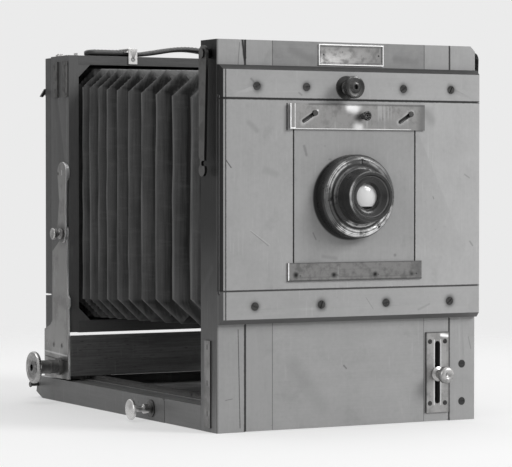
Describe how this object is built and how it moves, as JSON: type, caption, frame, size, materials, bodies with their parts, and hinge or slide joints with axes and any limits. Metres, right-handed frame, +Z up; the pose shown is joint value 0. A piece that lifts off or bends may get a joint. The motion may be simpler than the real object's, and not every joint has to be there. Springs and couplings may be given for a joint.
{
  "type": "tailboard camera",
  "caption": "Wooden tailboard field camera with brass fittings, tapered bellows, rack focusing back, rising and crossing lens front, leather handle and focusing screen.",
  "frame": {"origin": "axis of the tripod bush, level with the underside of the bed", "axes": "+X to the right seen from the lens side, +Y from the lens to the focusing screen, +Z up"},
  "size_m": [0.3472, 0.46, 0.372],
  "materials": {
    "front_wood": "satin",
    "side_wood": "satin",
    "inner_wood": "matte",
    "brass": "lacquered",
    "dark_metal": "bronzed",
    "lens_glass": "polished",
    "ground_glass": "ground",
    "leather": "worn",
    "bellows_cloth": "matte"
  },
  "bodies": {
    "base": {"front_stile_left": "front_wood", "front_stile_right": "front_wood", "front_top_rail": "side_wood", "front_bottom_rail": "side_wood", "side_strips": "brass", "bed_floor": "inner_wood", "bed_rails": "side_wood", "tripod_bush": "brass", "tailboard_floor": "inner_wood", "tailboard_rails": "side_wood", "tailboard_end_rail": "side_wood", "tracks": "side_wood", "racks": "brass", "tailboard_hinges": "brass", "tailboard_fittings": "dark_metal", "rise_lock_stud": "brass", "bellows": "bellows_cloth"},
    "rising_front": {"rising_board": "front_wood", "board_clamps": "front_wood", "rise_slot_plate": "brass", "upper_cleat": "front_wood", "lower_cleat": "front_wood", "top_plate": "brass", "front_screws": "dark_metal"},
    "cross_front": {"cross_panel": "front_wood", "lens_board": "front_wood", "lens_board_strip": "brass", "catch_pins": "dark_metal", "lens_flange": "dark_metal", "lens_barrel": "dark_metal", "lens_glasses": "lens_glass"},
    "catch": {"catch_plate": "brass", "catch_knob": "brass"},
    "clamp_knob": {"clamp_knob": "brass"},
    "rise_lock_nut": {"rise_lock_nut": "brass"},
    "hook_left": {"hook_left": "brass"},
    "hook_right": {"hook_right": "brass"},
    "lock_screw_left": {"lock_screw_left": "brass"},
    "lock_screw_right": {"lock_screw_right": "brass"},
    "carriage": {"carriage_boards": "inner_wood", "carriage_blocks": "side_wood", "carriage_runners": "brass", "cheek_plates": "brass", "shaft_housings": "brass"},
    "pinion": {"pinion_shaft": "dark_metal", "focus_knobs": "brass"},
    "rear_frame": {"rear_stiles": "side_wood", "rear_rails": "side_wood", "plate_frame": "inner_wood", "swing_links": "brass", "rear_fittings": "brass", "handle_strap": "leather", "handle_staples": "brass"},
    "screen": {"screen_frame": "side_wood", "screen_hinges": "brass", "focusing_screen": "ground_glass"},
    "swing_screw_left": {"swing_screw_left": "brass"},
    "swing_screw_right": {"swing_screw_right": "brass"},
    "back_catch_left": {"back_catch_left": "brass"},
    "back_catch_right": {"back_catch_right": "brass"}
  },
  "joints": [
    {"name": "front_rise", "type": "slide", "parent": "base", "child": "rising_front", "axis": [0, 0, 1], "range_m": [0, 0.025]},
    {"name": "cross_slide", "type": "slide", "parent": "rising_front", "child": "cross_front", "axis": [1, 0, 0], "range_m": [-0.02, 0.02]},
    {"name": "catch_slide", "type": "slide", "parent": "cross_front", "child": "catch", "axis": [0.848, 0, 0.5299], "range_m": [0, 0.0065]},
    {"name": "clamp_knob_turn", "type": "hinge", "parent": "rising_front", "child": "clamp_knob", "pos_m": [-0.0095, -0.0811, 0.3165], "axis": [0, 1, 0], "range_deg": [-180, 180]},
    {"name": "rise_nut_turn", "type": "hinge", "parent": "base", "child": "rise_lock_nut", "pos_m": [0.097, -0.0718, 0.0455], "axis": [0, 1, 0], "range_deg": [-180, 180]},
    {"name": "focus_slide", "type": "slide", "parent": "base", "child": "carriage", "axis": [0, 1, 0], "range_m": [-0.285, 0], "deforming": ["bellows"]},
    {"name": "pinion_turn", "type": "hinge", "parent": "carriage", "child": "pinion", "pos_m": [0, 0.28, 0.03701], "axis": [1, 0, 0], "range_deg": [-1, 1560]},
    {"name": "back_swing", "type": "hinge", "parent": "carriage", "child": "rear_frame", "pos_m": [0, 0.271, 0.175], "axis": [1, 0, 0], "range_deg": [-3, 3]},
    {"name": "swing_screw_left_turn", "type": "hinge", "parent": "rear_frame", "child": "swing_screw_left", "pos_m": [-0.144, 0.271, 0.175], "axis": [1, 0, 0], "range_deg": [-180, 180]},
    {"name": "lock_screw_left_turn", "type": "hinge", "parent": "base", "child": "lock_screw_left", "pos_m": [-0.14, 0.0665, 0.0115], "axis": [1, 0, 0], "range_deg": [-180, 180]},
    {"name": "hook_left_swing", "type": "hinge", "parent": "base", "child": "hook_left", "pos_m": [-0.1455, -0.057, 0.346], "axis": [1, 0, 0], "range_deg": [0, 90]},
    {"name": "back_catch_left_turn", "type": "hinge", "parent": "rear_frame", "child": "back_catch_left", "pos_m": [-0.132, 0.3, 0.359], "axis": [0, 0, 1], "range_deg": [0, 90]},
    {"name": "swing_screw_right_turn", "type": "hinge", "parent": "rear_frame", "child": "swing_screw_right", "pos_m": [0.144, 0.271, 0.175], "axis": [1, 0, 0], "range_deg": [-180, 180]},
    {"name": "lock_screw_right_turn", "type": "hinge", "parent": "base", "child": "lock_screw_right", "pos_m": [0.14, 0.0665, 0.0115], "axis": [1, 0, 0], "range_deg": [-180, 180]},
    {"name": "hook_right_swing", "type": "hinge", "parent": "base", "child": "hook_right", "pos_m": [0.1455, -0.057, 0.346], "axis": [1, 0, 0], "range_deg": [0, 90]},
    {"name": "back_catch_right_turn", "type": "hinge", "parent": "rear_frame", "child": "back_catch_right", "pos_m": [0.132, 0.3, 0.359], "axis": [0, 0, -1], "range_deg": [0, 90]},
    {"name": "screen_fold", "type": "hinge", "parent": "rear_frame", "child": "screen", "pos_m": [0, 0.3258, 0.11], "axis": [-1, 0, 0], "range_deg": [0, 100]}
  ],
  "couplings": [
    {"joint": "pinion_turn", "follows": "focus_slide", "rad_per_m": -95.238}
  ]
}
